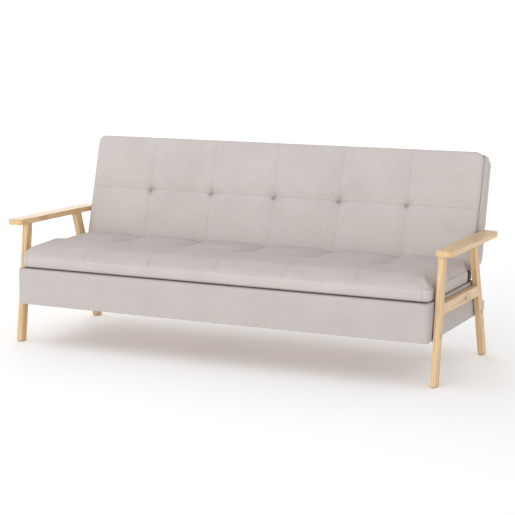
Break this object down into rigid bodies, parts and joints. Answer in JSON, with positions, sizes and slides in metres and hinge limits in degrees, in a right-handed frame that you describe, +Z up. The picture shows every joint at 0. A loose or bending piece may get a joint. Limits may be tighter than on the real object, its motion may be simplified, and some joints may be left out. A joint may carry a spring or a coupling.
{
  "type": "sofa bed",
  "caption": "Upholstered sofa bed: tufted seat that lifts, tufted back that reclines flat, padded box base, and open arm frames of light wood with slanted legs.",
  "frame": {"origin": "on the floor, in the middle of the sofa's outline at rest", "axes": "+X to the sitter's left along the sofa, +Y from the front to the rear, +Z up"},
  "size_m": [1.936, 0.8038, 0.8281],
  "materials": {
    "natural_wood": "satin",
    "frame_timber": "matte",
    "dowel_wood": "matte",
    "slat_plywood": "satin",
    "hardboard": "matte",
    "upholstery_fabric": "matte",
    "foam": "matte",
    "lining_cloth": "matte",
    "zinc_plated_steel": "satin",
    "black_painted_steel": "satin",
    "black_plastic": "matte",
    "black_rubber": "matte"
  },
  "bodies": {
    "base": {"armrest_dowels": "dowel_wood", "base_bottom_panel": "hardboard", "base_corner_blocks": "frame_timber", "base_cover": "upholstery_fabric", "base_front_board": "frame_timber", "base_front_ledge": "frame_timber", "base_left_board": "frame_timber", "base_rear_board": "frame_timber", "base_right_board": "frame_timber", "base_side_ledges": "frame_timber", "fixed_plate_screws": "zinc_plated_steel", "floor_frame_bearers": "frame_timber", "floor_frame_cover": "upholstery_fabric", "floor_frame_front_rail": "frame_timber", "floor_frame_left_rail": "frame_timber", "floor_frame_rear_rail": "frame_timber", "floor_frame_right_rail": "frame_timber", "frame_bolts": "zinc_plated_steel", "frame_nuts": "zinc_plated_steel", "left_armrest": "natural_wood", "left_fixed_plate": "black_painted_steel", "left_front_leg": "natural_wood", "left_pivot_bolt": "zinc_plated_steel", "left_rear_leg": "natural_wood", "left_side_rail": "natural_wood", "leg_glides": "black_plastic", "leg_spacers": "black_plastic", "right_armrest": "natural_wood", "right_fixed_plate": "black_painted_steel", "right_front_leg": "natural_wood", "right_pivot_bolt": "zinc_plated_steel", "right_rear_leg": "natural_wood", "right_side_rail": "natural_wood", "seat_stops": "black_rubber", "side_rail_dowels": "dowel_wood"},
    "seat": {"seat_buttons": "upholstery_fabric", "seat_cover": "upholstery_fabric", "seat_foam": "foam", "seat_frame": "frame_timber", "seat_lining": "lining_cloth", "seat_slat_caps": "black_plastic", "seat_slats": "slat_plywood", "left_seat_arm": "black_painted_steel", "right_seat_arm": "black_painted_steel"},
    "back": {"back_band_cover": "upholstery_fabric", "back_bottom_rail": "frame_timber", "back_buttons": "upholstery_fabric", "back_deck": "lining_cloth", "back_front_cover": "upholstery_fabric", "back_front_foam": "foam", "back_left_stile": "frame_timber", "back_rear_cover": "upholstery_fabric", "back_rear_foam": "foam", "back_rear_panel": "hardboard", "back_right_stile": "frame_timber", "back_slat_caps": "black_plastic", "back_slats": "slat_plywood", "back_top_rail": "frame_timber", "left_back_arm": "black_painted_steel", "right_back_arm": "black_painted_steel"}
  },
  "joints": [
    {"name": "seat_lift", "type": "hinge", "parent": "base", "child": "seat", "pos_m": [0, 0.17813, 0.35856], "axis": [-1, 0, 0], "range_deg": [0, 25]},
    {"name": "back_recline", "type": "hinge", "parent": "base", "child": "back", "pos_m": [0, 0.17813, 0.35856], "axis": [-1, 0, 0], "range_deg": [0, 75]}
  ]
}
